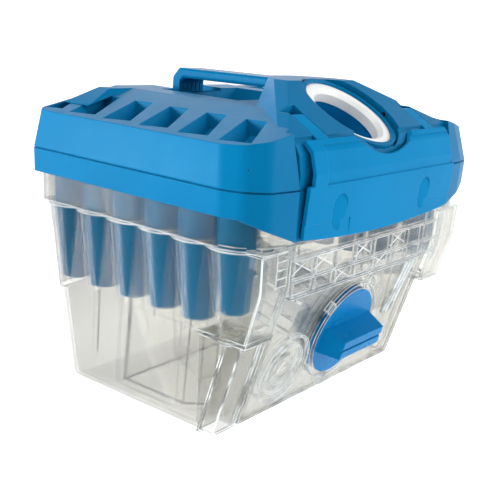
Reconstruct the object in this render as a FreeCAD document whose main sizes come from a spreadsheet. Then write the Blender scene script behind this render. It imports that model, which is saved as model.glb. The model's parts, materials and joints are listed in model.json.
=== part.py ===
import FreeCAD, Part
import math
import os
import re

import Sketcher
from FreeCAD import Placement, Rotation, Vector

# Dust box of a multi-cyclone vacuum cleaner: a clear tub under a moulded lid.
# +X is to the right, -Y is the front with the latch flap and the knob, +Z is up.
# The origin is the centre of the face that the tub rests on.  Sizes are millimetres and degrees.
SIZES = {
    # clear tub
    "wall": 2, "floor_half": 107.3, "floor_rear": 57, "floor_front": 56.7, "ledge_half": 110,
    "foot_round": 5, "ledge_height": 57, "ledge_rear": 67, "cheek_half": 87, "cheek_front": 45,
    "wing_front": 84, "wing_foot_front": 76, "wing_height": 88.7, "wing_rear": 72,
    "shoulder_half": 112, "shoulder_height": 109, "rim_half": 117.6, "rim_top_half": 119,
    "rim_front": 82, "rim_rear": 78.4, "rim_height": 134, "rib_reach": 1.2, "rib_height": 1.6,
    # front panel, its latch rail and its round boss
    "panel_half": 84.8, "panel_wall": 2.2, "panel_front": 80.3, "panel_slope": 14.9,
    "rail_low": 80.5, "rail_high": 103, "rail_front": 84.4, "rail_columns": 8, "rail_wall": 1.5,
    "boss_side": 58, "boss_up": 29.5, "boss_radius": 23,
    "post_depth": 11.5, "post_wall": 1.5,
    # inner chamber wall
    "chamber_half": 91.5, "chamber_top_half": 85.5, "chamber_rear": 28, "chamber_front": 21,
    "chamber_nose_half": 80, "chamber_nose": 34, "chamber_wall": 1.6, "chamber_height": 133,
    # lid
    "lid_half": 122.5, "lid_front": 86, "lid_rear": 82, "parting": 139.4, "skirt_low": 126,
    "skirt_nose_low": 112, "skirt_wall": 2.9, "nose_front": 84.9, "shoulder_z": 161, "shoulder_inset": 5,
    "lid_top": 189,
    "ridge_half": 56, "ridge_z": 174, "deck_low": 136.6, "shell": 2.6, "groove_height": 0.9,
    "groove_depth": 1.1,
    "nose_half": 86.5, "flap_bay_half": 88, "front_slope": 30, "front_edge_y": 80, "front_edge_z": 163.5,
    # cyclones
    "cyclone_count": 6, "cyclone_pitch": 24.6, "cyclone_row_y": 1.8, "cyclone_top_x": 103.7,
    "cyclone_lean": 3.64,
    "cyclone_top_r": 12.2, "cyclone_tip_r": 8.65, "cyclone_tip_z": 63, "front_tip_z": 72,
    "front_top_r": 10.6,
    "cyclone_neck_z": 109, "cyclone_wall": 1.4, "flute_gap": 1.0,
    "finder_r": 6.2, "finder_wall": 1.2, "finder_length": 26,
    # suction port
    "port_y": 55.9, "port_z": 172.1, "collar_r": 32, "seal_r": 29.2, "seal_bore_r": 22, "seal_flat": 4.6,
    "seal_thick": 8, "duct_r": 25, "duct_wall": 1.8, "duct_length": 44,
    # latch flap
    "flap_half": 80, "arm_x": 61.5, "arm_width": 11, "hinge_y": 61, "hinge_z": 170.2,
    "pin_r": 2, "pin_gap": 0.05, "arm_end_r": 3.7, "arm_gap": 0.6,
    # carrying handle
    "handle_half": 12, "handle_rear": 73.5, "handle_top": 186.6,
    # filter insert and its knob
    "knob_up": 39.9, "knob_r": 29.2, "knob_thick": 4, "knob_proud": 2, "grip_reach": 14.5,
    "grip_length": 52, "grip_width": 17, "knob_collar_r": 33.4, "knob_collar_bore": 29.6,
    "plug_r": 25.5, "screen_r": 22.5, "screen_wall": 1.4, "screen_length": 71,
    "slot_count": 12, "slot_width": 3.2,
}

doc = FreeCAD.newDocument("CycloneDustBox")
sheet = doc.addObject("Spreadsheet::Sheet", "Sizes")
for row, (alias, value) in enumerate(SIZES.items(), 1):
    sheet.set(f"A{row}", alias)
    sheet.set(f"B{row}", str(value))
    sheet.setAlias(f"B{row}", alias)
doc.recompute()


def size(alias):
    """The value of one cell, as a plain number."""
    return float(sheet.get(alias))


def expression(text):
    """An expression over the sheet's cells, from one written with their bare aliases."""
    return re.sub(r"[a-z_]+[a-z0-9_]*", lambda word: "Sizes." + word[0] if word[0] in SIZES else word[0],
                  str(text))


def bind(item, **properties):
    """Bind properties to cells; a double underscore in a name stands for a dot."""
    for name, text in properties.items():
        item.setExpression(name.replace("__", "."), expression(text))
    return item


def place(item, x=0, y=0, z=0, rotation=None):
    item.Placement = Placement(Vector(), rotation or Rotation())
    return bind(item, Placement__Base__x=x, Placement__Base__y=y, Placement__Base__z=z)


def box(name, x, y, z):
    """An upright box; each side is a pair of expressions, low and high."""
    item = doc.addObject("Part::Box", name)
    bind(item, Length=f"({x[1]}) - ({x[0]})", Width=f"({y[1]}) - ({y[0]})", Height=f"({z[1]}) - ({z[0]})")
    return place(item, x[0], y[0], z[0])


def cylinder(name, radius, height, x=0, y=0, z=0, rotation=None):
    item = doc.addObject("Part::Cylinder", name)
    bind(item, Radius=radius, Height=height)
    return place(item, x, y, z, rotation)


def cone(name, low_radius, high_radius, height, x=0, y=0, z=0, rotation=None):
    item = doc.addObject("Part::Cone", name)
    bind(item, Radius1=low_radius, Radius2=high_radius, Height=height)
    return place(item, x, y, z, rotation)


def fuse(name, items):
    item = doc.addObject("Part::MultiFuse", name)
    item.Shapes = items
    return item


def chain(name, base, *rows):
    """Fuse rows of overlapping pieces onto a base, every other piece of a row at a time."""
    for k, row in enumerate(rows):
        for start in (0, 1):
            item = doc.addObject("Part::Fuse", f"{name}_{k}_{start}")
            item.Base = base
            item.Tool = fuse(f"{name}_group_{k}_{start}", row[start::2])
            base = item
    return base


def common(name, items):
    item = doc.addObject("Part::MultiCommon", name)
    item.Shapes = items
    return item


def cut(name, base, tools):
    """A base with one or more tools taken away."""
    item = doc.addObject("Part::Cut", name)
    item.Base = base
    item.Tool = tools[0] if len(tools) == 1 else fuse(name + "_tools", tools)
    return item


FLAT = Rotation()
SIDE = Rotation(Vector(1, 1, 1), 120)        # sketch X, Y become +Y, +Z and the normal is +X
FRONT = Rotation(Vector(1, 0, 0), 90)        # sketch X, Y become +X, +Z and the normal is -Y


def outline(name, corners, rotation=FLAT, x=0, y=0, z=0):
    """A closed sketch with straight sides; each corner is a pair of expressions."""
    sketch = doc.addObject("Sketcher::SketchObject", name)
    count = len(corners)
    ring = [Vector(math.cos(2 * math.pi * k / count), math.sin(2 * math.pi * k / count), 0) * 50
            for k in range(count)]
    for k in range(count):
        sketch.addGeometry(Part.LineSegment(ring[k], ring[(k + 1) % count]))
    for k in range(count):
        sketch.addConstraint(Sketcher.Constraint("Coincident", k, 2, (k + 1) % count, 1))
    for k, corner in enumerate(corners):
        for kind, text in zip(("DistanceX", "DistanceY"), corner):
            index = sketch.addConstraint(Sketcher.Constraint(kind, -1, 1, k, 1, 1.0))
            sketch.setExpression(f"Constraints[{index}]", expression(text))
    return place(sketch, x, y, z, rotation)


def extrude(name, sketch, length, centred=True):
    item = doc.addObject("Part::Extrusion", name)
    item.Base = sketch
    item.DirMode = "Normal"
    item.Solid = True
    item.Symmetric = centred
    return bind(item, LengthFwd=length)


def loft(name, sections):
    item = doc.addObject("Part::Loft", name)
    item.Sections = sections
    item.Solid = True
    item.Ruled = True
    return item


def fillet(name, base, radius_of):
    """Round the edges of the base to the radius that the given test returns; none for zero."""
    doc.recompute()
    item = doc.addObject("Part::Fillet", name)
    item.Base = base
    radii = [(k, radius_of(edge)) for k, edge in enumerate(base.Shape.Edges, 1)]
    item.Edges = [(k, radius, radius) for k, radius in radii if radius]
    return item


def mirrored_x(name, source):
    item = doc.addObject("Part::Mirroring", name)
    item.Source = source
    item.Normal = Vector(1, 0, 0)
    return item


def both_sides(name, source):
    """A piece together with its mirror image across the middle plane."""
    return fuse(name, [source, mirrored_x(name + "_mirror", source)])


def mid(edge):
    return edge.valueAt((edge.FirstParameter + edge.LastParameter) / 2)


def upright(edge):
    """True for an edge that runs mostly up and down."""
    run = edge.Vertexes[-1].Point.sub(edge.Vertexes[0].Point)
    return run.Length > 1 and abs(run.z) > 0.9 * run.Length


NODES = []


def node(label, item):
    """Name a finished sub-part, which becomes one file."""
    item.Label = label
    NODES.append(item)
    return item


# ---------------------------------------------------------------- clear tub

def lid_section(name, half, front, rear, z):
    """A plan of the lid at one height: a broad left front corner, a tighter right one, square rear ones."""
    corners = [("{h} - 4", "{r}", 1), ("{h}", "{r} - 4", 1), ("{h}", "12 - {f}", 1),
               ("{h} - 3.5", "4 - {f}", 1),
               ("{h} - 18.5", "0.5 - {f}", 1), ("{h} - 34.5", "-{f}", 1), ("{h} - 32.5", "-{f}", -1),
               ("{h} - 13.5", "3 - {f}", -1), ("{h} - 3.5", "12 - {f}", -1), ("{h}", "24 - {f}", -1),
               ("{h}", "{r} - 4", -1), ("{h} - 4", "{r}", -1)]
    points = [(f"{side} * ({x})".format(h=f"({half})"), y.format(f=f"({front})", r=f"({rear})"))
              for x, y, side in corners]
    return outline(name, points, z=z)


def corner_rounds(broad):
    """Fillet radii for a lid-shaped block: broad at the left front, less at the right, least at the rear."""
    def radius(edge):
        if not upright(edge):
            return 0
        if mid(edge).y > 0:
            return 4
        return broad if mid(edge).x < 0 else 7
    return radius


def stepped(name, half, front, rear, cheek_front, z, cheek="cheek_half"):
    """A section whose front corners stand back from the panel by a cheek on each side."""
    corners = [(f"-({half})", rear), (f"-({half})", f"-({cheek_front})"),
               (f"-({cheek})", f"-({cheek_front})"),
               (f"-({cheek})", f"-({front})"), (cheek, f"-({front})"), (cheek, f"-({cheek_front})"),
               (half, f"-({cheek_front})"), (half, rear)]
    return outline(name, corners, z=z)


def flute(name, side, y, grow):
    """The round bulge of the side wall around one cyclone, grown by a thickness."""
    lean = Rotation(Vector(0, 1, 0), side * size("cyclone_lean"))
    low = "(ledge_height - 1)"
    top_x = f"({side} * (cyclone_top_x - tan(cyclone_lean) * (deck_low - {low})))"
    spread = "(cyclone_top_r - cyclone_tip_r) / (cyclone_neck_z - cyclone_tip_z)"
    foot = f"cyclone_tip_r - (cyclone_tip_z - {low}) * {spread} + flute_gap + {grow}"
    head = f"cyclone_top_r + flute_gap + {grow}"
    return cone(name, foot, head, f"(cyclone_neck_z - {low})", top_x, y, low, lean)


def cyclone_rows():
    """Each cyclone's side, place in its row and distance from the middle, front one last."""
    count = int(size("cyclone_count"))
    for side in (-1, 1):
        for place_in_row in range(count):
            yield side, place_in_row, f"(({(count - 1) / 2} - {place_in_row}) * cyclone_pitch + cyclone_row_y)"


def foot_rounds(radius):
    """Fillet radii for the tub's foot: its rear upright corners and its bottom edge, but not at the front."""
    def chosen(edge):
        spot = mid(edge)
        if upright(edge):
            return radius if spot.y > 40 else 0
        low_edge = spot.z < size("wall") + 1
        return radius if low_edge and (spot.y > 40 or abs(spot.x) > size("floor_half") - 4) else 0
    return chosen


panel_run = "tan(panel_slope)"
lower = fillet("tub_lower", loft("tub_lower_block", [
    stepped("lower_foot", "floor_half", "floor_front - panel_wall", "floor_rear", "cheek_front", 0),
    stepped("lower_head", "ledge_half", f"floor_front - panel_wall + ledge_height * {panel_run}",
            "ledge_rear", "cheek_front", "ledge_height")]), foot_rounds(size("foot_round")))
wing = loft("tub_wing", [
    stepped("wing_foot", "ledge_half", f"floor_front - panel_wall + ledge_height * {panel_run}",
            "ledge_rear", "wing_foot_front", "ledge_height"),
    stepped("wing_head", "shoulder_half - 0.8", "panel_front - panel_wall", "wing_rear", "wing_front",
            "wing_height")])
collar_band = loft("tub_collar", [
    stepped("collar_foot", "shoulder_half - 0.8", "panel_front - panel_wall", "wing_rear", "wing_front",
            "wing_height"),
    stepped("collar_head", "shoulder_half", "panel_front - panel_wall", "rim_rear - 2.4", "wing_front",
            "shoulder_height")])
rim = fillet("tub_rim", loft("tub_rim_block", [
    lid_section("rim_foot", "rim_half", "rim_front", "rim_rear - 0.4", "shoulder_height"),
    lid_section("rim_head", "rim_top_half", "rim_front", "rim_rear", "rim_height")]), corner_rounds(9))
rows = list(cyclone_rows())
flutes = [flute(f"flute_{k}", side, y, "wall") for k, (side, _, y) in enumerate(rows)]
ribs = [cylinder(f"flute_rib_{k}", "cyclone_top_r + flute_gap + wall + rib_reach", "rib_height",
                 f"{side} * (cyclone_top_x - tan(cyclone_lean) * (deck_low - shoulder_height))", y,
                 "shoulder_height - rib_height") for k, (side, _, y) in enumerate(rows)]
hull = fuse("tub_hull", [lower, wing, collar_band, rim])
tub_outer = chain("tub_outer", hull, flutes, ribs)

open_front = "floor_front + 60"
lower_void = fillet("lower_void", loft("lower_void_block", [
    stepped("lower_void_foot", "floor_half - wall", open_front, "floor_rear - wall", "cheek_front - wall",
            "wall + 0.2", "cheek_half - wall"),
    stepped("lower_void_head", "ledge_half - wall", open_front, "ledge_rear - wall", "cheek_front - wall",
            "ledge_height + 4", "cheek_half - wall")]), foot_rounds(size("foot_round") - size("wall")))
wing_void = loft("wing_void", [
    stepped("wing_void_foot", "ledge_half - wall", open_front, "ledge_rear - wall",
            "wing_foot_front - wall",
            "ledge_height + wall", "cheek_half - wall"),
    stepped("wing_void_head", "shoulder_half - 0.8 - wall", open_front, "wing_rear - wall",
            "wing_front - wall",
            "wing_height", "cheek_half - wall")])
collar_void = loft("collar_void", [
    stepped("collar_void_foot", "shoulder_half - 0.8 - wall", open_front, "wing_rear - wall",
            "wing_front - wall",
            "wing_height", "cheek_half - wall"),
    stepped("collar_void_head", "shoulder_half - wall", open_front, "rim_rear - 2.4 - wall",
            "wing_front - wall",
            "shoulder_height - wall", "cheek_half - wall")])
rim_void = fillet("rim_void", loft("rim_void_block", [
    lid_section("rim_void_foot", "rim_half - wall", "rim_front - wall", "rim_rear - 0.4 - wall",
                "shoulder_height + 0.2"),
    lid_section("rim_void_head", "rim_top_half - wall", "rim_front - wall", "rim_rear - wall",
                "rim_height + 1")]),
    corner_rounds(7))
throat = box("rim_throat", ("wall - cheek_half - 20", "cheek_half + 20 - wall"),
             ("wall - rim_front", "rim_rear - 2.4 - wall"),
             ("shoulder_height - wall - 1", "shoulder_height + 1"))
flute_voids = [flute(f"flute_void_{k}", side, y, "0") for k, (side, _, y) in enumerate(rows)]
necks = [cylinder(f"neck_void_{k}", "cyclone_top_r + flute_gap", 3,
                  f"{side} * (cyclone_top_x - tan(cyclone_lean) * (deck_low - shoulder_height))", y,
                  "shoulder_height - 2") for k, (side, _, y) in enumerate(rows)]
hull_void = fuse("hull_void", [lower_void, wing_void, collar_void, rim_void, throat])
tub_void = chain("tub_void", hull_void, flute_voids, necks)
node("dust_tub", cut("dust_tub_solid", tub_outer, [tub_void]))


# ---------------------------------------------------------------- front panel and what is on it

PANEL_OUT = Rotation(Vector(0, 0, 1), Vector(0, -math.cos(math.radians(size("panel_slope"))),
                                            -math.sin(math.radians(size("panel_slope")))))


def panel_cylinder(name, radius, length, depth, x="0", up="knob_up"):
    """A cylinder square to the sloping panel, from a depth behind its face and outwards."""
    return cylinder(name, radius, length, x,
                    f"-(floor_front + ({up}) * tan(panel_slope)) + ({depth}) * cos(panel_slope)",
                    f"({up}) + ({depth}) * sin(panel_slope)", PANEL_OUT)


def panel_ring(name, outer, inner, length, depth, x="0", up="knob_up"):
    return cut(name, panel_cylinder(name + "_outer", outer, length, depth, x, up),
               [panel_cylinder(name + "_inner", inner, f"({length}) + 4", f"({depth}) + 2", x, up)])


panel_sheet = extrude("panel_sheet", outline("panel_profile", [
    ("-floor_front", "0"), ("-panel_front", "wing_height"), ("-panel_front", "shoulder_height + 0.4"),
    ("panel_wall - panel_front", "shoulder_height + 0.4"), ("panel_wall - panel_front", "wing_height"),
    ("panel_wall - floor_front", "0")], SIDE), "2 * panel_half")
panel_hole = panel_cylinder("panel_hole", "knob_collar_r", 20, 10)
node("front_panel", cut("front_panel_solid", panel_sheet, [panel_hole]))

rail_block = box("rail_block", ("-panel_half", "panel_half"), ("-rail_front", "-panel_front + 1.4"),
                 ("rail_low", "rail_high"))
rail_pitch = "(2 * panel_half - rail_wall) / rail_columns"
rail_cells = []
for column in range(int(size("rail_columns"))):
    for line, (low,
               high) in enumerate([("rail_low + rail_wall", "89.8"), ("91.3", "rail_high - rail_wall")]):
        left = f"-panel_half + rail_wall + {column} * {rail_pitch}"
        rail_cells.append(box(f"rail_cell_{column}_{line}", (left, f"{left} + {rail_pitch} - rail_wall"),
                              ("-rail_front - 1", "1.5 - rail_front + 1.1"), (low, high)))
node("latch_rail", cut("latch_rail_solid", rail_block, rail_cells + [panel_sheet]))

boss_rings = [panel_ring(f"boss_ring_{k}", f"boss_radius - {k * 6}", f"boss_radius - {k * 6 + 1.6}",
                         2.4 - 0.4 * k, 0, "-boss_side", "boss_up") for k in range(3)]
boss_cap = panel_cylinder("boss_cap", "boss_radius - 18", 3, 0, "-boss_side", "boss_up")
node("panel_boss", fuse("panel_boss_solid", boss_rings + [boss_cap]))

swirl_half = box("swirl_half", ("-60", "60"), ("-90", "-20"), ("knob_up + 4", "knob_up + 48"))
swirls = [common(f"swirl_{k}", [panel_ring(f"swirl_ring_{k}", f"knob_collar_r + {reach} + 1.5",
                                           f"knob_collar_r + {reach}", 7, "7 + panel_wall"), swirl_half])
          for k, reach in enumerate((4, 12))]
node("swirl_vanes", fuse("swirl_vanes_solid", swirls))

collar_ring = panel_ring("collar_ring", "knob_collar_r", "knob_collar_bore", 9, 7)
collar_ears = [box(f"collar_ear_{k}", ("-3.5", "3.5"), ("knob_collar_r - 0.6", "knob_collar_r + 5"),
                   ("0", "3"))
               for k in range(3)]
for ear, angle in zip(collar_ears, (50, 171, -27)):
    spin = PANEL_OUT.multiply(Rotation(Vector(0, 0, 1), angle))
    reach = size("knob_collar_r") - 0.6
    corner = spin.multVec(Vector(-3.5, reach, 0))
    place(ear, str(corner.x), f"-(floor_front + knob_up * tan(panel_slope)) + {corner.y}",
          f"knob_up + {corner.z}", spin)
node("knob_collar", fuse("knob_collar_solid", [collar_ring] + collar_ears))


def post_profile(name, inset, low, high):
    """The sloping section of the corner post, shrunk by its wall."""
    front = "-(floor_front + ({z}) * tan(panel_slope)) + " + inset
    rear = "-(floor_front + ({z}) * tan(panel_slope)) + post_depth - " + inset
    return outline(name, [(rear.format(z=low), low), (front.format(z=low), low),
                          (front.format(z=high), high), (rear.format(z=high), high)], SIDE,
                   x="-(floor_half + cheek_half + 1) / 2")


post_width = "floor_half - cheek_half - 1"
post_shell = extrude("post_shell", post_profile("post_outer", "0", "0", "ledge_height - 0.2"), post_width)
post_void = extrude("post_void", post_profile("post_inner", "post_wall", "post_wall", "ledge_height + 3"),
                    f"{post_width} - 2 * post_wall")
node("corner_post",
     cut("corner_post_solid", post_shell, [post_void, panel_sheet, doc.getObject("dust_tub_solid")]))


def chamber_section(name, half, nose_half, front, z):
    """The U-shaped plan of the inner wall at one height, open to the front panel."""
    wall = "chamber_wall"
    outer = [(nose_half, f"-({front})"), (nose_half, "-chamber_nose"), (half, "-chamber_front"),
             (half, "chamber_rear")]
    inner = [(f"{nose_half} - {wall}", f"-({front})"), (f"{nose_half} - {wall}", "-chamber_nose + 0.7"),
             (f"{half} - {wall}", "-chamber_front + 0.7"), (f"{half} - {wall}", f"chamber_rear - {wall}")]
    right = outer + inner[::-1]
    left_outer = [(f"-({x})", y) for x, y in outer]
    left_inner = [(f"-({x})", y) for x, y in inner]
    return outline(name, left_outer + outer[::-1] + inner + left_inner[::-1], z=z)


chamber = loft("chamber_solid", [
    chamber_section("chamber_foot", "chamber_half", "chamber_nose_half", "floor_front - panel_wall - 0.8",
                    "wall + 0.2"),
    chamber_section("chamber_waist", "chamber_half - 3.9", "chamber_nose_half - 1.9",
                    "panel_front - panel_wall - 0.4",
                    "wing_height"),
    chamber_section("chamber_head", "chamber_top_half", "chamber_nose_half - 3", "rim_front - wall - 0.4",
                    "chamber_height")])
node("chamber_wall", chamber)


def gasket_block(name, inset, low, high, broad):
    """A lid-shaped block set in from the tub's rim."""
    sections = [lid_section(f"{name}_{k}", f"rim_top_half - {inset}", f"rim_front - {inset}",
                            f"rim_rear - {inset}", z)
                for k, z in enumerate((low, high))]
    return fillet(name, loft(name + "_block", sections), corner_rounds(broad))


node("lid_gasket",
     cut("lid_gasket_solid", gasket_block("gasket_outer", 0, "rim_height", "deck_low - 0.1", 9),
                       [gasket_block("gasket_inner", 2.6, "rim_height - 1", "deck_low + 1", 7)]))


# ---------------------------------------------------------------- lid frame and cyclones

frame_outer = fillet("frame_outer", loft("frame_block", [
    lid_section("frame_foot", "lid_half - 1.3", "lid_front", "lid_rear - 0.6", "skirt_nose_low"),
    lid_section("frame_head", "lid_half", "lid_front", "lid_rear", "parting")]), corner_rounds(12))
frame_void = fillet("frame_void", loft("frame_void_block", [
    lid_section("frame_void_foot", "lid_half - skirt_wall", "lid_front - 2", "lid_rear - 2.4",
                "skirt_nose_low - 0.5"),
    lid_section("frame_void_head", "lid_half - skirt_wall", "lid_front - 2", "lid_rear - 2.4",
                "deck_low")]),
    corner_rounds(10))
frame_bay = box("frame_bay", ("-flap_bay_half", "flap_bay_half"), ("-lid_front - 9", "1.8 - nose_front"),
                ("skirt_nose_low - 2", "parting + 1"))
frame_nose = box("frame_nose", ("-nose_half", "nose_half"), ("-nose_front", "2.2 - nose_front"),
                 ("skirt_nose_low", "parting"))
skirt_edge = extrude("skirt_edge", outline("skirt_edge_profile", [
    ("-130", "90"), ("-130", "skirt_low"), ("-119", "skirt_low"), ("-108", "skirt_low - 5.5"),
    ("-nose_half", "skirt_nose_low + 0.5"), ("nose_half", "skirt_nose_low + 0.5"),
    ("108", "skirt_low - 5.5"),
    ("119", "skirt_low"), ("130", "skirt_low"), ("130", "90")], FRONT), "240")
side_edge = box("side_edge", ("-130", "130"), ("-72", "90"), ("90", "skirt_low"))
PORT_OUT = Rotation(Vector(1, 0, 0), size("front_slope"))


def port_cylinder(name, radius, length, depth):
    """A cylinder along the port, from a depth below its sealing plane and outwards."""
    return cylinder(name, radius, length, 0, f"-port_y + ({depth}) * sin(front_slope)",
                    f"port_z - ({depth}) * cos(front_slope)", PORT_OUT)


def cyclone_cylinder(name, side, y, radius, low, high):
    """A cylinder along a cyclone's leaning axis between two heights."""
    lean = Rotation(Vector(0, 1, 0), side * size("cyclone_lean"))
    return cylinder(name, radius, f"(({high}) - ({low})) / cos(cyclone_lean)",
                    f"{side} * (cyclone_top_x - tan(cyclone_lean) * (deck_low - ({low})))", y, low, lean)


duct_hole = port_cylinder("duct_hole", "duct_r", "duct_length + 20", "duct_length + 10")


def top_radius(place_in_row):
    """The front cyclone of each row is slimmer, to clear the tub's corner."""
    return "front_top_r" if place_in_row == int(size("cyclone_count")) - 1 else "cyclone_top_r"


mouths = [cyclone_cylinder(f"mouth_{k}", side, y, f"{top_radius(place_in_row)} - cyclone_wall",
                           "deck_low - 4",
                           "parting + 3") for k, (side, place_in_row, y) in enumerate(rows)]
screw_spots = [(x, y) for x in (-84, 84) for y in (-67, 0, 71.5)] + [(-30, 71.5), (30, 71.5)]
screw_ways = [cylinder(f"screw_way_{k}", 1.6, "6", x, y, "deck_low - 2") for k,
              (x, y) in enumerate(screw_spots)]
frame_ring = cut("frame_ring", frame_outer, [frame_void, frame_bay])
node("lid_frame", cut("lid_frame_solid", fuse("lid_frame_block", [frame_ring, frame_nose]),
                      [skirt_edge, side_edge, duct_hole] + mouths + screw_ways))


def cyclone(name, side, place_in_row, y):
    """One hollow cyclone: a straight neck above a cone that is open at its tip."""
    top_r = top_radius(place_in_row)
    tip = "cyclone_tip_z" if top_r == "cyclone_top_r" else "front_tip_z"
    lean = Rotation(Vector(0, 1, 0), side * size("cyclone_lean"))
    spread = "(cyclone_top_r - cyclone_tip_r) / (cyclone_neck_z - cyclone_tip_z)"
    tip_r = f"{top_r} - (cyclone_neck_z - {tip}) * {spread}"
    foot = f"{side} * (cyclone_top_x - tan(cyclone_lean) * (deck_low - {tip}))"
    run = f"(cyclone_neck_z - {tip}) / cos(cyclone_lean)"
    above_deck = box(name + "_top", ("-130", "130"), ("-90", "90"), ("deck_low", "deck_low + 9"))
    neck = cyclone_cylinder(name + "_neck", side, y, top_r, "cyclone_neck_z", "deck_low + 3")
    skin = fuse(name + "_skin", [cone(name + "_cone", tip_r, top_r, run, foot, y, tip, lean),
                                 cut(name + "_neck_trim", neck, [above_deck])])
    bore = fuse(name + "_bore", [
        cone(name + "_bore_cone", f"{tip_r} - cyclone_wall", f"{top_r} - cyclone_wall", run, foot, y, tip,
             lean),
        cyclone_cylinder(name + "_bore_neck", side, y, f"{top_r} - cyclone_wall", "cyclone_neck_z - 0.01",
                         "deck_low + 5")])
    return cut(name + "_solid", skin, [bore])


for side, place_in_row, y in rows:
    label = f"cyclone_{'left' if side < 0 else 'right'}_{place_in_row + 1}"
    node(label, cyclone(label, side, place_in_row, y))

for side in (-1, 1):
    word = "left" if side < 0 else "right"
    plate = box(f"finder_plate_{word}", (f"{side} * cyclone_top_x - 11", f"{side} * cyclone_top_x + 11"),
                ("-72.5", "75"), ("parting", "parting + 1.8"))
    tubes = [cyclone_cylinder(f"finder_{word}_{k}", side, y, "finder_r", "parting - finder_length",
                              "parting + 1")
             for k, (where, _, y) in enumerate(rows) if where == side]
    bores = [cyclone_cylinder(f"finder_bore_{word}_{k}", side, y, "finder_r - finder_wall",
                              "parting - finder_length - 1",
                              "parting + 5") for k, (where, _, y) in enumerate(rows) if where == side]
    node(f"vortex_finders_{word}",
         cut(f"vortex_finders_{word}_solid", fuse(f"finder_block_{word}", [plate] + tubes), bores))


# ---------------------------------------------------------------- lid cover

roof_run = "(ridge_z - shoulder_z) / (lid_half - shoulder_inset - ridge_half)"
taper = "shoulder_inset * (lid_top - parting) / (shoulder_z - parting)"
cover_block = fillet("cover_block", loft("cover_loft", [
    lid_section("cover_foot", "lid_half", "lid_front", "lid_rear", "parting"),
    lid_section("cover_head", f"lid_half - {taper}", f"lid_front - {taper}", "lid_rear", "lid_top")]),
    corner_rounds(12))


def roof_prism(name, drop, length):
    """Everything under the two sloping roof planes, lowered by a drop."""
    eave = f"ridge_z - (140 - ridge_half) * {roof_run} - ({drop})"
    return extrude(name, outline(name + "_profile", [
        ("-140", "100"), ("-140", eave), ("-ridge_half", f"ridge_z - ({drop})"),
        ("ridge_half", f"ridge_z - ({drop})"),
        ("140", eave), ("140", "100")], FRONT), length)


roofed = common("roofed", [cover_block, roof_prism("roof", "0", "240")])
hill_foot = [("14", "1"), ("70", "-35"), ("96", "-76"), ("96", "-95")]
hill_head = [("10", "-6"), ("22", "-12"), ("36", "-26"), ("36", "-95")]
hill = loft("hill", [outline(f"hill_{k}", half + [(f"-{x}", y) for x, y in half[::-1]], z=z)
                     for k, (half, z) in enumerate([(hill_foot, "162"), (hill_head, "lid_top")])])
hill_trim = common("hill_trim", [hill, cover_block])
rear_hump = loft("rear_hump", [
    outline("hump_foot", [("-100", "79"), ("-100", "58"), ("100", "58"), ("100", "79")], z="165"),
    outline("hump_head", [("-76", "75"), ("-76", "66"), ("76", "66"), ("76", "75")], z="174")])
TURN_X = Rotation(Vector(0, 1, 0), 90)
drum = common("drum", [cylinder("drum_round", 30, 30, 30, 12, 148, TURN_X),
                       box("drum_bound", ("20", "70"), ("-40", "60"), ("150", "190"))])
front_plane = "front_edge_z + ({y} + front_edge_y) * tan(front_slope)"
slope_cut = extrude("slope_cut", outline("slope_cut_profile", [
    ("-100", front_plane.format(y="-100")), ("-30", front_plane.format(y="-30")),
    ("-100", front_plane.format(y="-30"))],
    SIDE), "2 * flap_bay_half")
bay = box("bay", ("-flap_bay_half", "flap_bay_half"), ("-95", "3.5 - front_edge_y"), ("parting - 1", "200"))
nose = extrude("nose", outline("nose_profile", [
    ("-74", "parting"), ("-74", "165"), ("-79.2", "162"), ("-82.6", "157"), ("-84.4", "147"),
    ("-84.4", "parting")],
    SIDE), "2 * nose_half")
notch = box("notch", ("-22", "22"), ("60", "95"), ("170", "200"))
trough = loft("trough", [
    outline("trough_foot", [("-30", "58"), ("-30", "2"), ("34", "2"), ("34", "58")], z="164.5"),
    outline("trough_head", [("-46", "63"), ("-46", "-8"), ("46", "-8"), ("46", "63")], z="184")])

POCKET_MOUTH = [(4.2, 9.2), (7.7, -9.2), (42, 6.5), (41, 20)]
POCKET_FLOOR = [(13, 5), (9.5, -7.4), (38.5, 5.6), (38, 15.5)]


def pocket(name, side, middle):
    """A scooped pocket in the roof; its walls stand nearly upright and its outer rear corner is a ramp."""
    tilt = Rotation(Vector(0, 1, 0), side * math.degrees(math.atan2(13, 61.5)))

    def section(part, corners, lift):
        points = [(f"{-side} * {u}", f"{middle + v}") for u, v in corners]
        return outline(f"{name}_{part}", points, tilt,
                       f"{side} * (lid_half - shoulder_inset) + {lift * 0.207 * side}",
                       "0", f"shoulder_z + {lift * 0.978}")
    return loft(name, [section("floor", POCKET_FLOOR, -8), section("mouth", POCKET_MOUTH, 0.3)])


pockets = []
for side in (-1, 1):
    word = "left" if side < 0 else "right"
    pockets.append(common(f"rear_pocket_{word}", [
        pocket(f"rear_pocket_whole_{word}", side, 77.6),
        box(f"rear_pocket_bound_{word}", ("-130", "130"), ("50", "lid_rear - 1.6"), ("140", "190"))]))
    for k in range(5):
        pockets.append(pocket(f"pocket_{word}_{k}", side, 50 - 27.6 * k))

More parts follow.
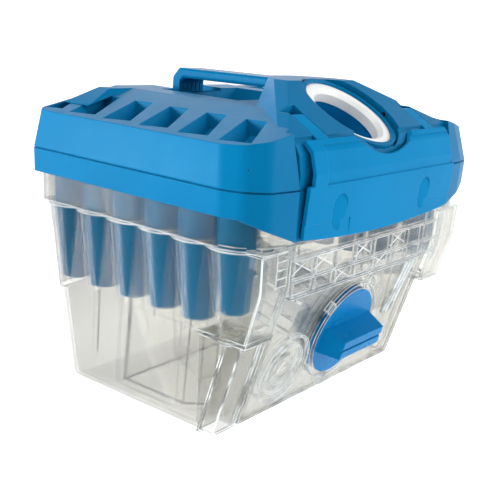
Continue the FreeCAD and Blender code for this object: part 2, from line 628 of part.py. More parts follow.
cavity = common("cavity", [
    box("cavity_box", ("-115", "115"), ("-73", "79"), ("parting - 1", "200")),
    fuse("cavity_profile", [
        roof_prism("low_cavity", "11", "240"),
        box("ridge_cavity", ("-70", "-44"), ("-48", "72"), ("parting", "166")),
        box("ridge_cavity_right", ("44", "70"), ("-48", "72"), ("parting", "166"))]),
    roof_prism("high_cavity", "shell + 1.2", "240")])
trough_floor = box("trough_floor", ("-44", "48"), ("-12", "72"), ("161.5", "180"))
nose_cavity = box("nose_cavity", ("-84", "84"), ("-82", "-69"), ("parting - 1", "149"))
cavity_trim = cut("cavity_trim", cavity,
                  [trough_floor, extrude("slope_skin", outline("slope_skin_profile", [
    ("-100", front_plane.format(y="-100") + " - 12"), ("-30", front_plane.format(y="-30") + " - 12"),
    ("-100", front_plane.format(y="-30"))], SIDE), "2 * flap_bay_half + 10")])

channel = both_sides("channels", extrude("channel", outline("channel_profile", [
    ("-95", front_plane.format(y="-95") + " - 9.4"), ("-54.5", front_plane.format(y="-54.5") + " - 9.4"),
    ("-54.5", "195"), ("-95", "195")], SIDE, x="-arm_x"), "arm_width + 2 * arm_gap"))
port_recess = port_cylinder("port_recess", "collar_r + 1.6", 40, 1)
port_bore = port_cylinder("port_bore", "collar_r", 60, 17)
under_port = port_cylinder("under_port", "duct_r + 3", 50, 50)
pin_holes = cylinder("pin_holes", "pin_r", 146, -73, "-hinge_y", "hinge_z", TURN_X)
bosses = common("screw_bosses", [
    fuse("screw_boss_posts", [cylinder(f"screw_boss_{k}", 4, "40", x, y, "parting")
                              for k, (x, y) in enumerate(screw_spots)]),
    roof_prism("boss_bound", "1.5", "240")])
boss_holes = [cylinder(f"screw_hole_{k}", 1.6, "9.4", x, y, "parting - 0.2") for k,
              (x, y) in enumerate(screw_spots)]


def groove_block(name, out, low, high):
    """A lid-shaped block, grown outwards by an amount, between two heights."""
    return loft(name, [lid_section(f"{name}_{k}", f"lid_half + {out}", f"lid_front + {out}",
                                   f"lid_rear + {out}", z)
                       for k, z in enumerate((low, high))])


parting_groove = cut("parting_groove",
                     groove_block("groove_outer", "3", "parting - 1", "parting + groove_height"),
                     [groove_block("groove_inner", "(-groove_depth)", "parting - 2", "parting + 2")])
cover_mass = cut("cover_mass", fuse("cover_fused", [roofed, hill_trim, rear_hump, drum]),
                 [slope_cut, bay, trough, notch, cavity_trim, parting_groove])
node("lid_cover", cut("lid_cover_solid", fuse("cover_with_nose", [cover_mass, nose, bosses]),
                      [nose_cavity, channel, port_recess, port_bore, under_port,
                       pin_holes] + pockets + boss_holes))

screws = []
for k, (x, y) in enumerate(screw_spots):
    screws.append(fuse(f"cover_screw_{k}", [
        cylinder(f"cover_screw_shank_{k}", 1.6, "11.6", x, y, "deck_low"),
        cylinder(f"cover_screw_head_{k}", 3, "1.8", x, y, "deck_low - 1.8")]))
node("cover_screws", fuse("cover_screws_solid", screws))

# ---------------------------------------------------------------- suction port

collar = cut("collar_cut", port_cylinder("collar_outer", "collar_r", 18.5, 17),
             [port_cylinder("collar_counterbore", "seal_r", 20, "seal_thick"),
              port_cylinder("collar_bore", "duct_r", 40, 20)])
node("port_collar", collar)
seal_body = cut("seal_cut", port_cylinder("seal_outer", "seal_r", "seal_thick", "seal_thick"),
                [port_cylinder("seal_inner", "seal_bore_r", 20, 12),
                 cone("seal_lead_in", "seal_bore_r", "seal_r - seal_flat", 2.8, 0,
                      "-port_y + 2.5 * sin(front_slope)",
                      "port_z - 2.5 * cos(front_slope)", PORT_OUT)])
node("port_seal", seal_body)
duct = cut("duct_cut", port_cylinder("duct_outer", "duct_r", "duct_length - seal_thick", "duct_length"),
           [port_cylinder("duct_inner", "duct_r - duct_wall", "duct_length + 10", "duct_length + 2")])
node("port_duct", duct)

# ---------------------------------------------------------------- carrying handle

handle_side = extrude("handle_side", outline("handle_outer", [
    ("handle_rear", "170"), ("handle_rear", "182"), ("69.5", "handle_top"), ("-12", "handle_top + 1.2"),
    ("-12", "181.4"), ("64.5", "180.2"), ("67.5", "177.5"), ("67.5", "170")], SIDE), "2 * handle_half")
handle_grooves = [box(f"handle_groove_{k}", (f"{x} - 0.7", f"{x} + 0.7"), ("66.5", "68.3"),
                      ("171.5", "177"))
                  for k, x in enumerate((-8, -4, 0, 4, 8))]


def along_bar(edge):
    """Soft long edges on the bar, left square where it meets the lid."""
    on_side = abs(abs(mid(edge).x) - size("handle_half")) < 0.1
    return 2 if on_side and mid(edge).z > 178 and not upright(edge) else 0


handle_round = fillet("handle_round", handle_side, along_bar)
node("carry_handle",
     cut("carry_handle_solid", handle_round, handle_grooves + [doc.getObject("lid_cover_solid")]))

# ---------------------------------------------------------------- latch flap

hood = extrude("hood", outline("hood_profile", [
    ("-80.9", "163.9"), ("-86.4", "159"), ("-89.6", "147.7"), ("-89.4", "138.7"), ("-88.6", "124.4"),
    ("-88.1", "111.8"),
    ("-87.6", "100"), ("-85.4", "100"), ("-85.9", "111.8"), ("-86.4", "124.4"), ("-87.2", "138.7"),
    ("-87.4", "147.9"),
    ("-84.7", "157.4"), ("-79.6", "162")], SIDE), "2 * flap_half + 8")
hood_ends = [box(f"hood_end_{k}", (low, high), ("-95", "-70"), ("141.5", "170"))
             for k, (low, high) in enumerate([("-95", "-flap_half"), ("flap_half", "95")])]
hood_sweep = cylinder("hood_sweep", 802, 60, 0, -60, 911.4, FRONT)
hood_dip = cylinder("hood_dip", 59.4, 60, 0, -60, 212.4, FRONT)
hood_recess = extrude("hood_recess", outline("hood_recess_profile", [
    ("-93", "141.5"), ("-88.7", "141.5"), ("-88.8", "147.6"), ("-85.7", "158.5"), ("-83", "161"),
    ("-93", "170")],
    SIDE, x="8"), "2 * flap_half - 8")
scoops = []
for side in (-1, 1):
    turn = Rotation(Vector(0, 0, 1), -9).multiply(Rotation(Vector(1, 0, 0), 90))
    x = f"{side} * 49 - 3"
    round_ends = [cylinder(f"scoop_end_{side}_{k}", 7, 10, x, "-87.6", z, turn) for k,
                  z in enumerate((122.5, 128.5))]
    run = box(f"scoop_run_{side}", ("0", "14"), ("0", "6"), ("0", "10"))
    corner = turn.multVec(Vector(-7, 0, 0))
    place(run, f"{x} + {corner.x}", f"-87.6 + {corner.y}", "122.5", turn)
    scoops.append(fuse(f"scoop_{side}", round_ends + [run]))
panel_step = [box(f"hood_step_{k}", (low, high), ("-92", "-88.0"), ("99", "121"))
              for k, (low, high) in enumerate([("-90", "-40"), ("40", "90")])]
arm_bar = extrude("arm_bar", outline("arm_profile", [
    ("-86.6", "151.1"), ("-85", "157.4"), ("-80.6", "163.1"), ("-62.85", "173.4"), ("-59.15", "167")],
    SIDE, x="-arm_x"), "arm_width")
arm_end = cylinder("arm_end", "arm_end_r", "arm_width", "-arm_x - arm_width / 2", "-hinge_y", "hinge_z",
                   TURN_X)
arm_holes = cylinder("arm_holes", "pin_r + pin_gap", 160, -80, "-hinge_y", "hinge_z", TURN_X)
arms = both_sides("arms", fuse("arm", [arm_bar, arm_end]))
hood_skin = cut("hood_skin", common("hood_swept", [hood, hood_sweep]),
                hood_ends + [hood_dip, hood_recess] + scoops + panel_step)
node("latch_flap", cut("latch_flap_solid", fuse("flap_block", [hood_skin, arms]), [arm_holes]))
for side in (-1, 1):
    word = "left" if side < 0 else "right"
    node(f"flap_pin_{word}",
         cylinder(f"flap_pin_{word}_solid", "pin_r", 21, f"{side} * arm_x - 10.5", "-hinge_y",
                                      "hinge_z", TURN_X))

# ---------------------------------------------------------------- filter insert

disc = panel_cylinder("knob_disc", "knob_r", "knob_thick + knob_proud", "knob_thick")
plug = panel_cylinder("knob_plug", "plug_r", "8", "12")


def grip_section(name, length, width, lift):
    """A rectangle square to the knob's axis, lifted off the panel."""
    sketch = outline(name, [(f"-({length}) / 2", f"-({width}) / 2"), (f"({length}) / 2", f"-({width}) / 2"),
                            (f"({length}) / 2", f"({width}) / 2"), (f"-({length}) / 2", f"({width}) / 2")])
    return place(sketch, 0, f"-(floor_front + knob_up * tan(panel_slope)) - ({lift}) * cos(panel_slope)",
                 f"knob_up - ({lift}) * sin(panel_slope)", PANEL_OUT)


grip = loft("grip", [grip_section("grip_foot", "grip_length", "grip_width", "knob_proud - 0.5"),
                     grip_section("grip_head", "grip_length - 7", "grip_width - 5",
                                  "knob_proud + grip_reach")])
grip_trim = common("grip_trim", [grip, panel_cylinder("grip_bound", "knob_r - 0.4", 30, 0)])
grip_groove = box("grip_groove", ("-24", "24"), ("-1", "1"), ("0", "1.6"))
groove_lift = "knob_proud + grip_reach - 1.2"
groove_corner = PANEL_OUT.multVec(Vector(-24, -1, 0))
place(grip_groove, str(groove_corner.x),
      f"-(floor_front + knob_up * tan(panel_slope)) - ({groove_lift}) * cos(panel_slope) + {groove_corner.y}",
      f"knob_up - ({groove_lift}) * sin(panel_slope) + {groove_corner.z}", PANEL_OUT)
node("filter_knob", cut("filter_knob_solid", fuse("knob_block", [disc, plug, grip_trim]), [grip_groove]))

screen_end = "12 + screen_length"
screen_slots = []
for k in range(int(size("slot_count"))):
    spin = PANEL_OUT.multiply(Rotation(Vector(0, 0, 1), 360.0 * k / size("slot_count")))
    for part, start in enumerate((22, 56)):
        item = box(f"screen_slot_{k}_{part}", ("0", "6"), ("0", "slot_width"), ("0", "28"))
        corner = spin.multVec(Vector(size("screen_r") - 4, -size("slot_width") / 2, 0))
        place(item, str(corner.x),
              f"-(floor_front + knob_up * tan(panel_slope)) + ({start} + 28) * cos(panel_slope) + {corner.y}",
              f"knob_up + ({start} + 28) * sin(panel_slope) + {corner.z}", spin)
        screen_slots.append(item)
screen_tube = panel_ring("screen_tube", "screen_r", "screen_r - screen_wall", "screen_length", screen_end)
node("filter_screen", cut("filter_screen_solid", screen_tube, screen_slots))
node("screen_cap", panel_cylinder("screen_cap_solid", "screen_r + 1", 2.4, f"{screen_end} + 2.4"))
ring_seat = panel_ring("ring_seat", "knob_collar_bore - 0.05", "plug_r + 0.05", 3, 8.5)
node("filter_o_ring", ring_seat)


# ---------------------------------------------------------------- checks and files

doc.recompute()
for item in doc.Objects:
    if "Invalid" in item.State or "Error" in item.State:
        raise RuntimeError(f"{item.Name} did not build: {item.State}")
for item in NODES:
    if item.Shape.isNull() or not item.Shape.isValid() or not item.Shape.Solids:
        raise RuntimeError(f"{item.Label} has no valid solid")

os.makedirs("parts", exist_ok=True)
for item in NODES:
    item.Shape.exportStep(f"parts/{item.Label}.step")
    print(f"{item.Label}: {len(item.Shape.Solids)} solid, {item.Shape.Volume / 1000:.2f} cm3")
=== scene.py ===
import json
import math

import bmesh
import bpy
from mathutils import Matrix, Vector


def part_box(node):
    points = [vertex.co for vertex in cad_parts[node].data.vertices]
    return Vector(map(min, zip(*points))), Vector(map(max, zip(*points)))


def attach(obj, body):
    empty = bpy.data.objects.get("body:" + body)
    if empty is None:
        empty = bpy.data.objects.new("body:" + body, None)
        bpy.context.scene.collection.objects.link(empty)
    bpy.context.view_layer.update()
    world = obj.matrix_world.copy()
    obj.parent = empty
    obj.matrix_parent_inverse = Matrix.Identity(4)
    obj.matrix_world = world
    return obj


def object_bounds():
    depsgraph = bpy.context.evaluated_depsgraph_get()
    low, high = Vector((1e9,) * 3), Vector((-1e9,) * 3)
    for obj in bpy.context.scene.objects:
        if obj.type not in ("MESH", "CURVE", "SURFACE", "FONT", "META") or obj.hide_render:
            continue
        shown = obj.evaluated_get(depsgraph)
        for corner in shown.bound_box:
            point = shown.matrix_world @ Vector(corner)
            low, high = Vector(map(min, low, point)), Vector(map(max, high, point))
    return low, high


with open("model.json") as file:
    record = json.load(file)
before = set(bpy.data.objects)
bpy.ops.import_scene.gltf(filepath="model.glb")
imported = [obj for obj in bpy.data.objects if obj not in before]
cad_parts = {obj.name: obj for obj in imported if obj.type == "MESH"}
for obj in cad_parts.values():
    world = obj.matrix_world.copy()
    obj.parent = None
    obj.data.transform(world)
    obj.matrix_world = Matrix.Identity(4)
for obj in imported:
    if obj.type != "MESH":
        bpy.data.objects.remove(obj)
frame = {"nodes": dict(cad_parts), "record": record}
cad_low, cad_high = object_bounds()
scene = bpy.context.scene

# ---------------------------------------------------------------- camera and stage (metres)

CAMERA_PLACE = (-0.4411, -0.3198, 0.2191)
CAMERA_RIGHT = Vector((0.6108, -0.7878, 0.0797))
CAMERA_UP = Vector((0.1554, 0.2179, 0.9635))
CAMERA_FORWARD = Vector((0.7764, 0.5761, -0.2555))
LENS_MM, SENSOR_MM = 61.87, 36.0
CLIP_NEAR, CLIP_FAR = 0.01, 50
SKY_STRENGTH = 0.15
FLOOR_INNER, FLOOR_FLAT, FLOOR_CURVE, FLOOR_TOP = 0.5, 2.2, 1.0, 1.5
FLOOR_DROP = 0.0004

camera = bpy.data.objects.new("camera", bpy.data.cameras.new("camera"))
scene.collection.objects.link(camera)
turned = Matrix((CAMERA_RIGHT, CAMERA_UP, -CAMERA_FORWARD)).transposed().to_4x4()
camera.matrix_world = Matrix.Translation(CAMERA_PLACE) @ turned
camera.data.lens = LENS_MM
camera.data.sensor_width = SENSOR_MM
camera.data.clip_start, camera.data.clip_end = CLIP_NEAR, CLIP_FAR
scene.camera = camera

world = bpy.data.worlds.new("studio")
scene.world = world
world.use_nodes = True
sky = world.node_tree.nodes["Background"]
sky.inputs["Color"].default_value = (1.0, 1.0, 1.0, 1)
sky.inputs["Strength"].default_value = SKY_STRENGTH
scene.view_settings.view_transform = "Standard"


def round_sweep(name, profile, turns=96):
    """A studio sweep: a flat floor whose rim curves up all round."""
    points = [(r * math.cos(2 * math.pi * k / turns), r * math.sin(2 * math.pi * k / turns), z)
              for r, z in profile for k in range(turns)]
    faces = []
    for row in range(len(profile) - 1):
        near, far = row * turns, (row + 1) * turns
        for k in range(turns):
            after = (k + 1) % turns
            faces.append((near + k, near + after, far + after, far + k))
    faces.append(tuple(range(turns)))
    mesh = bpy.data.meshes.new(name)
    mesh.from_pydata(points, [], faces)
    for face in mesh.polygons:
        face.use_smooth = len(face.vertices) == 4
    sweep = bpy.data.objects.new(name, mesh)
    scene.collection.objects.link(sweep)
    return sweep


rim = [(FLOOR_FLAT + FLOOR_CURVE * math.sin(a), FLOOR_CURVE - FLOOR_CURVE * math.cos(a))
       for a in map(math.radians, range(0, 91, 6))]
wall_top = (FLOOR_FLAT + FLOOR_CURVE, FLOOR_TOP)
floor = round_sweep("floor", [(FLOOR_INNER, 0.0)] + rim + [wall_top])
floor.location.z = -FLOOR_DROP


def soft_light(name, place, aim, size, watts):
    light = bpy.data.lights.new(name, "AREA")
    light.shape = "RECTANGLE"
    light.size, light.size_y = size
    light.energy = watts
    holder = bpy.data.objects.new(name, light)
    scene.collection.objects.link(holder)
    holder.location = place
    holder.rotation_euler = (Vector(aim) - Vector(place)).to_track_quat("-Z", "Y").to_euler()


soft_light("key", (-0.35, 0.1, 1.35), (0, 0, 0.1), (0.6, 0.6), 8.0)
soft_light("side", (-0.8, 0.52, 0.24), (-0.12, 0.03, 0.15), (0.36, 0.28), 7.0)
soft_light("front", (0.6, -1.0, 0.8), (0, -0.05, 0.15), (1.0, 0.8), 11.0)
soft_light("back", (0.9, 1.0, 0.9), (0, 0, 0.1), (0.7, 0.4), 1.0)

# ---------------------------------------------------------------- materials

BLUE_GLINT = (0.12, 0.65, 1.0, 1)
# EDGE_GLINT is a painted highlight colour
EDGE_GLINT = (0.93, 0.98, 1.0)
# CLEAR_EDGE is a painted highlight colour for the edges of clear plastic
CLEAR_EDGE = (0.93, 0.94, 0.94)
CLEAR_IOR, LINE_IOR = 1.33, 1.45


def rgba(colour, gain=1.0, lift=0.0):
    return tuple(c * gain + lift for c in colour) + (1,)


class Nodes:
    """A short way to write a node tree."""

    def __init__(self, name):
        self.material = bpy.data.materials.new(name)
        self.material.use_nodes = True
        self.tree = self.material.node_tree
        self.shader = self.tree.nodes["Principled BSDF"]
        self.place = self.add("ShaderNodeTexCoord").outputs["Object"]

    def feed(self, socket, source):
        if isinstance(source, bpy.types.NodeSocket):
            self.tree.links.new(source, socket)
        else:
            socket.default_value = source

    def add(self, kind, inputs=None, **values):
        node = self.tree.nodes.new(kind)
        for key, value in values.items():
            setattr(node, key, value)
        for socket, source in (inputs or {}).items():
            self.feed(node.inputs[socket], source)
        return node

    def axis(self, letter):
        return self.add("ShaderNodeSeparateXYZ", {"Vector": self.place}).outputs[letter]

    def noise(self, scale, detail=3.0, rough=0.5, stretch=(1, 1, 1)):
        mapping = self.add("ShaderNodeMapping", {"Vector": self.place, "Scale": stretch})
        inputs = {"Vector": mapping.outputs[0], "Scale": scale, "Detail": detail,
                  "Roughness": rough}
        return self.add("ShaderNodeTexNoise", inputs).outputs["Fac"]

    def span(self, value, low, high, start=0.0, end=1.0):
        """Map start..end to low..high, held at both ends."""
        inputs = {"Value": value, "From Min": start, "From Max": end, "To Min": low,
                  "To Max": high}
        return self.add("ShaderNodeMapRange", inputs).outputs["Result"]

    def math(self, operation, a, b=0.0):
        return self.add("ShaderNodeMath", {0: a, 1: b}, operation=operation).outputs[0]

    def mix(self, factor, a, b):
        # sockets 6, 7 and output 2 are the Mix node's colour ones
        return self.add("ShaderNodeMix", {0: factor, 6: a, 7: b}, data_type="RGBA").outputs[2]

    def bump(self, height, strength, distance, normal=None):
        inputs = {"Height": height, "Strength": strength, "Distance": distance}
        if normal is not None:
            inputs["Normal"] = normal
        return self.add("ShaderNodeBump", inputs).outputs["Normal"]

    def edges(self, radius):
        """How near a point is to an edge, from 0 to 1, and the rounded normal there."""
        rounded = self.add("ShaderNodeBevel", {"Radius": radius}, samples=6).outputs[0]
        face = self.add("ShaderNodeNewGeometry").outputs["True Normal"]
        dot = self.add("ShaderNodeVectorMath", {0: rounded, 1: face}, operation="DOT_PRODUCT")
        return self.span(dot.outputs["Value"], 1.0, 0.0, 0.86, 0.995), rounded

    def set(self, **values):
        for key, value in values.items():
            self.feed(self.shader.inputs[key.replace("_", " ")], value)
        return self.material


def moulded(name, colour, rough=0.3, edge_radius=0.0009, depth=0.07, gloss=1.2):
    """Moulded ABS: slightly uneven colour, a fine grain, soft edges with a painted highlight,
    scuffs.
    """
    n = Nodes(name)
    edge, rounded = n.edges(edge_radius)
    cloud, rub = n.noise(16, 3, 0.5), n.noise(70, 5, 0.65, (1, 1, 2.5))
    speck = n.noise(1100, 2, 0.6)
    base = n.mix(n.span(cloud, 0, 1, 0.3, 0.7), rgba(colour, 1 - depth), rgba(colour, 1 + depth))
    # painted highlight: the base colour is lighter along the edges
    base = n.mix(n.math("MULTIPLY", edge, 0.5), base, rgba(colour, 1.3, 0.008))
    scuffed = n.span(rub, rough - 0.03, rough + 0.05, 0.3, 0.75)
    roughness = n.math("ADD", scuffed, n.span(cloud, -0.03, 0.03))
    normal = n.bump(speck, 0.08, 0.00004, rounded)
    return n.set(Base_Color=base, Roughness=roughness, Normal=normal, IOR=gloss,
                 Specular_Tint=BLUE_GLINT)


def clear(name, colour, alpha, painted_back_shade=1.0):
    """Clear polycarbonate: polished, the slow ripple of a moulded wall, edges with a painted
    highlight, rub marks.

    The last argument is painted shade: it darkens the colour toward the back of the box."""
    n = Nodes(name)
    edge, rounded = n.edges(0.0011)
    flow, rub = n.noise(26, 2, 0.5), n.noise(140, 5, 0.7, (1, 1, 4))
    skim = n.add("ShaderNodeLayerWeight", {"Blend": 0.35}).outputs["Facing"]
    haze_and_shade = n.mix(n.span(n.noise(9, 3, 0.5), 0, 1, 0.3, 0.7), rgba(colour), rgba(colour, 0.975))
    if painted_back_shade < 1:
        # painted shade: the colour darkens toward the back of the box
        haze_and_shade = n.mix(n.span(n.axis("Y"), 0, 1, 0.0, 0.06), haze_and_shade, rgba(colour, painted_back_shade))
    # painted highlight: the edges are painted near white
    base = n.mix(edge, haze_and_shade, rgba(CLEAR_EDGE))
    rubbed = n.span(rub, 0.0, 0.05, 0.5, 0.85)
    roughness = n.math("ADD", rubbed, n.math("MULTIPLY", edge, 0.06))
    cover = n.math("ADD", n.span(skim, alpha, 1.0, 0.45, 1.0), n.math("MULTIPLY", edge, 0.3))
    cover = n.math("MINIMUM", cover, 1.0)
    passing = n.span(edge, 1.0, 0.72)
    normal = n.bump(flow, 0.16, 0.0008, rounded)
    return n.set(Base_Color=base, Roughness=roughness, Normal=normal, IOR=CLEAR_IOR,
                 Transmission_Weight=passing, Alpha=cover)


def soft_rubber(name, colour, rough, sheen):
    n = Nodes(name)
    edge, rounded = n.edges(0.0007)
    dust, pores = n.noise(40, 5, 0.65), n.noise(1400, 2, 0.6)
    base = n.mix(n.span(dust, 0, 1, 0.35, 0.75), rgba(colour, 0.94), rgba(colour))
    # painted highlight: the base colour is lighter along the edges
    base = n.mix(n.math("MULTIPLY", edge, 0.4), base, rgba(colour, 1.1, 0.02))
    return n.set(Base_Color=base, Roughness=n.span(dust, rough - 0.06, rough + 0.08),
                 Sheen_Weight=sheen, Normal=n.bump(pores, 0.3, 0.00005, rounded))


def steel(name):
    n = Nodes(name)
    brush = n.noise(300, 4, 0.6, (1, 1, 30))
    base = n.mix(brush, (0.40, 0.41, 0.43, 1), (0.62, 0.63, 0.65, 1))
    return n.set(Base_Color=base, Metallic=1.0, Roughness=n.span(brush, 0.22, 0.42),
                 Normal=n.bump(brush, 0.2, 0.0001))


def paint_floor(name):
    """White paint with a painted glow, though it is no lamp: strongest right under the part, where
    it lifts the part's shadow, least a little way out, rising toward the rim and fading near its
    top.
    """
    n = Nodes(name)
    cloud = n.noise(3, 3, 0.5)
    base = n.mix(cloud, rgba((0.76, 0.76, 0.76)), rgba((0.80, 0.80, 0.80)))
    squares = [n.math("POWER", n.axis(letter), 2.0) for letter in "XY"]
    reach = n.math("POWER", n.math("ADD", *squares), 0.5)
    # painted light: the glow is raised under the part to lift its shadow
    by_part, far_off = n.span(reach, 0.85, 0.5, 0.1, 0.24), n.span(reach, 0.5, 0.74, 0.5, 1.4)
    glow = n.math("MULTIPLY", n.math("MAXIMUM", by_part, far_off),
                  n.span(n.axis("Z"), 1.0, 0.45, 0.5, 1.3))
    return n.set(Base_Color=base, Roughness=n.span(cloud, 0.55, 0.7),
                 Normal=n.bump(n.noise(300, 2, 0.5), 0.02, 0.0002),
                 Emission_Color=(1, 1, 1, 1), Emission_Strength=glow)


def edge_line(name, dark, threshold, cover):
    """A clear moulded edge in painted light and shade: a painted dark line where it bends light
    away, a painted white glint where it catches it.
    """
    n = Nodes(name)
    # painted highlight: noise patches of white glint, more of them above the ledge height
    patch = n.math("ADD", n.noise(95, 3, 0.6), n.span(n.axis("Z"), 0, 0.25, 0.056, 0.064))
    lit = n.span(patch, 0, 1, threshold - 0.08, threshold + 0.08)
    base = n.mix(lit, rgba(dark), rgba(EDGE_GLINT))
    return n.set(Base_Color=base, Roughness=n.span(n.noise(300, 2, 0.5), 0.05, 0.2), IOR=LINE_IOR,
                 Alpha=n.span(n.noise(60, 3, 0.6), cover, 0.95, 0.3, 0.7))


LID, FLAP, DEEP = (0.001, 0.142, 0.320), (0.001, 0.190, 0.420), (0.001, 0.165, 0.410)
finishes = {
    # the clear shell gets painted shade toward its back
    "clear_shell": clear("clear polycarbonate", (0.57, 0.565, 0.475), 0.41, painted_back_shade=0.5),
    "clear_inner": clear("clear inner wall", (0.95, 0.95, 0.91), 0.10),
    "lid_blue": moulded("lid blue", LID, rough=0.34),
    "cone_blue": moulded("cone blue", LID, rough=0.32),
    "flap_blue": moulded("flap blue", FLAP, rough=0.3, gloss=1.09),
    "knob_blue": moulded("knob blue", DEEP, rough=0.28, gloss=1.15),
    "handle_blue": moulded("handle blue", LID, rough=0.27, edge_radius=0.0012),
    "collar_blue": moulded("collar blue", LID, rough=0.27),
    "duct_blue": moulded("duct blue", DEEP, rough=0.36),
    "seal_white": soft_rubber("seal white", (0.86, 0.86, 0.84), 0.42, 0.1),
    "rubber_black": soft_rubber("rubber black", (0.02, 0.02, 0.022), 0.55, 0.15),
    "screw_steel": steel("screw steel"),
    "screen_grey": soft_rubber("pale screen", (0.80, 0.80, 0.78), 0.5, 0.05),
    "thin_clear": clear("thin clear ribs", (0.90, 0.90, 0.86), 0.22),
}
# painted edge light and shade for the beads and ribs
shell_line = edge_line("shell edge", (0.14, 0.15, 0.16), 0.5, 0.3)
light_line = edge_line("fine edge", (0.30, 0.31, 0.31), 0.42, 0.15)
dark_line = edge_line("inner edge", (0.17, 0.18, 0.20), 0.66, 0.7)
floor.data.materials.append(paint_floor("stage floor"))

# small clear nodes in a lighter finish than the tub's walls
THIN_NODES = ("corner_post", "latch_rail", "swirl_vanes", "panel_boss", "knob_collar")
slot_of = {entry["node"]: entry.get("material_slot") or entry["node"]
           for entry in frame["record"]["subparts"]}
slot_of.update(dict.fromkeys(THIN_NODES, "thin_clear"))
for name, item in frame["nodes"].items():
    if not item.data.materials:
        item.data.materials.append(None)
    for k in range(len(item.data.materials)):
        item.data.materials[k] = finishes[slot_of[name]]

# ---------------------------------------------------------------- beads and ribs of the clear parts; the beads are painted edge light and shade

BEAD_SIDES, RIB_SIDES = 4, 6
WELD = 0.000002
SHORTEST_EDGE = 0.0004
BEAD_INSET = 1.1


def prism(mesh, start, end, radius, sides):
    """Add a closed straight bead to a bmesh."""
    along = (end - start).normalized()
    across = along.orthogonal().normalized()
    turn = Matrix.Rotation(2 * math.pi / sides, 3, along)
    first, last = [], []
    for k in range(sides):
        first.append(mesh.verts.new(start + across * radius))
        last.append(mesh.verts.new(end + across * radius))
        across = turn @ across
    for k in range(sides):
        after = (k + 1) % sides
        mesh.faces.new((first[k], first[after], last[after], last[k]))
    mesh.faces.new(first[::-1])
    mesh.faces.new(last)


def piece(name, mesh, finish, body):
    """Make a bmesh a visible piece that rides a body."""
    data = bpy.data.meshes.new(name)
    bmesh.ops.recalc_face_normals(mesh, faces=mesh.faces)
    mesh.to_mesh(data)
    mesh.free()
    data.materials.append(finish)
    item = bpy.data.objects.new(name, data)
    scene.collection.objects.link(item)
    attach(item, body)


def smooth_place(node, start, end):
    """True where the real tub shows no line: the ledge, behind the corner post, flute seams."""
    spot = (start + end) / 2
    steep = abs(end.z - start.z) > 0.8 * (end - start).length
    ledge = 0.054 < spot.z < 0.061 and spot.y > -0.043
    cheek = spot.z < 0.056 and -0.048 < spot.y < -0.040
    seam = (steep and 0.064 < spot.z < 0.112 and -0.075 < spot.y < 0.074
            and abs(spot.x) < 0.1185)
    return node == "dust_tub" and abs(spot.x) > 0.08 and (ledge or cheek or seam)


def edge_beads(node, radius, least_turn, finish):
    """Thin beads just inside the sharp edges of a CAD piece, painted with the light and shade that
    clear plastic gathers there.
    """
    source = bmesh.new()
    source.from_mesh(frame["nodes"][node].data)
    bmesh.ops.remove_doubles(source, verts=source.verts, dist=WELD)
    beads = bmesh.new()
    for edge in source.edges:
        if len(edge.link_faces) != 2 or edge.calc_length() < SHORTEST_EDGE:
            continue
        if edge.calc_face_angle(0) < math.radians(least_turn):
            continue
        start, end = (vert.co for vert in edge.verts)
        if smooth_place(node, start, end):
            continue
        outward = (edge.link_faces[0].normal + edge.link_faces[1].normal).normalized()
        inward = -outward * radius * BEAD_INSET
        prism(beads, start + inward, end + inward, radius, BEAD_SIDES)
    source.free()
    for vert in beads.verts:
        vert.co.z = max(vert.co.z, cad_low.z)
    piece("edges_" + node, beads, finish, "tub")


for node, radius, least_turn, finish in (
        ("dust_tub", 0.00026, 30, shell_line), ("front_panel", 0.0003, 30, shell_line),
        ("latch_rail", 0.00018, 40, light_line), ("knob_collar", 0.00025, 35, light_line),
        ("swirl_vanes", 0.0003, 35, light_line), ("panel_boss", 0.00022, 35, light_line),
        ("corner_post", 0.0003, 30, shell_line), ("chamber_wall", 0.0006, 25, dark_line)):
    edge_beads(node, radius, least_turn, finish)


def ribs(name, runs, radius, finish):
    mesh = bmesh.new()
    for start, end in runs:
        prism(mesh, Vector(start), Vector(end), radius, RIB_SIDES)
    piece(name, mesh, finish, "tub")


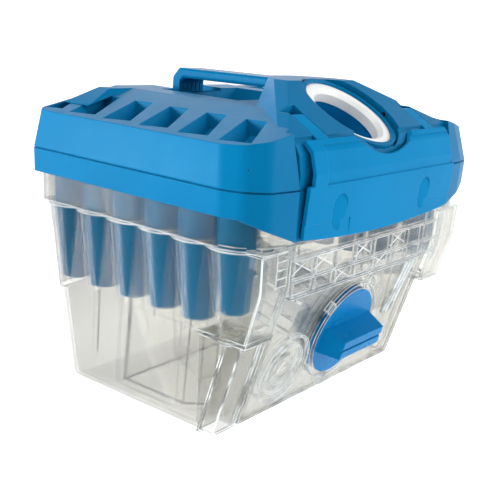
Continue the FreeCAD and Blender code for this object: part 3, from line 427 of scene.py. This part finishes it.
# the crosses in the latch rail's cells, each in the upper or the lower row
RAIL_CELLS = 8
BRACE_DEPTH, BRACE_SIDE_GAP, BRACE_END_GAP, BRACE_RADIUS = 0.0022, 0.0016, 0.0015, 0.00036
rail_low, rail_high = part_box("latch_rail")
cell_width = (rail_high.x - rail_low.x) / RAIL_CELLS
middle = (rail_low.z + rail_high.z) / 2
upper, lower = (middle, rail_high.z), (rail_low.z, middle)
brace_y = rail_low.y + BRACE_DEPTH
braces = []
for k, (foot, head) in enumerate((upper, upper, lower, upper, lower, upper)):
    left = rail_low.x + cell_width * k + BRACE_SIDE_GAP
    right = rail_low.x + cell_width * (k + 1) - BRACE_SIDE_GAP
    foot, head = foot + BRACE_END_GAP, head - BRACE_END_GAP
    braces.append(((left, brace_y, foot), (right, brace_y, head)))
    braces.append(((left, brace_y, head), (right, brace_y, foot)))
ribs("rail_braces", braces, BRACE_RADIUS, light_line)

# three stripes on the front panel, right of the knob
PANEL_SLOPE = math.radians(14.9)
PANEL_FOOT = 0.0567
PANEL_OUT = Vector((0, -math.cos(PANEL_SLOPE), -math.sin(PANEL_SLOPE)))
STRIPE_X_LOW, STRIPE_X_HIGH, STRIPE_PITCH = 0.050, 0.058, 0.005
STRIPE_LOW, STRIPE_HIGH, STRIPE_PROUD, STRIPE_RADIUS = 0.040, 0.076, 0.0006, 0.0011


def on_panel(x, z):
    """A point at a height on the sloping front panel, lifted off it by STRIPE_PROUD."""
    face = Vector((x, -(PANEL_FOOT + z * math.tan(PANEL_SLOPE)), z))
    return face + PANEL_OUT * STRIPE_PROUD


stripes = [(on_panel(STRIPE_X_LOW + STRIPE_PITCH * k, STRIPE_LOW),
            on_panel(STRIPE_X_HIGH + STRIPE_PITCH * k, STRIPE_HIGH)) for k in range(3)]
ribs("panel_stripes", stripes, STRIPE_RADIUS, light_line)

# the ladder on the tub's left wing, and the upright line near the back of the left wall
LADDER_SIDES = (-0.0985, -0.0895)
LADDER_RUNGS = (0.0900, 0.0945, 0.0990, 0.1035, 0.1080)
LADDER_FOOT, LADDER_HEAD, LADDER_INSET, LADDER_RADIUS = 0.0892, 0.1088, 0.0005, 0.0004
REAR_RIB_X, REAR_RIB_Y, REAR_RIB_RADIUS = -0.0985, 0.044, 0.0006
REAR_RIB_FOOT, REAR_RIB_HEAD = 0.016, 0.061
ladder_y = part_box("dust_tub")[0].y + LADDER_INSET
ladder = [[(x, ladder_y, z) for x in LADDER_SIDES] for z in LADDER_RUNGS]
ladder += [[(x, ladder_y, z) for z in (LADDER_FOOT, LADDER_HEAD)] for x in LADDER_SIDES]
ribs("wing_ladder", ladder, LADDER_RADIUS, light_line)
rear_rib = [(REAR_RIB_X, REAR_RIB_Y, z) for z in (REAR_RIB_FOOT, REAR_RIB_HEAD)]
ribs("rear_rib", [rear_rib], REAR_RIB_RADIUS, dark_line)
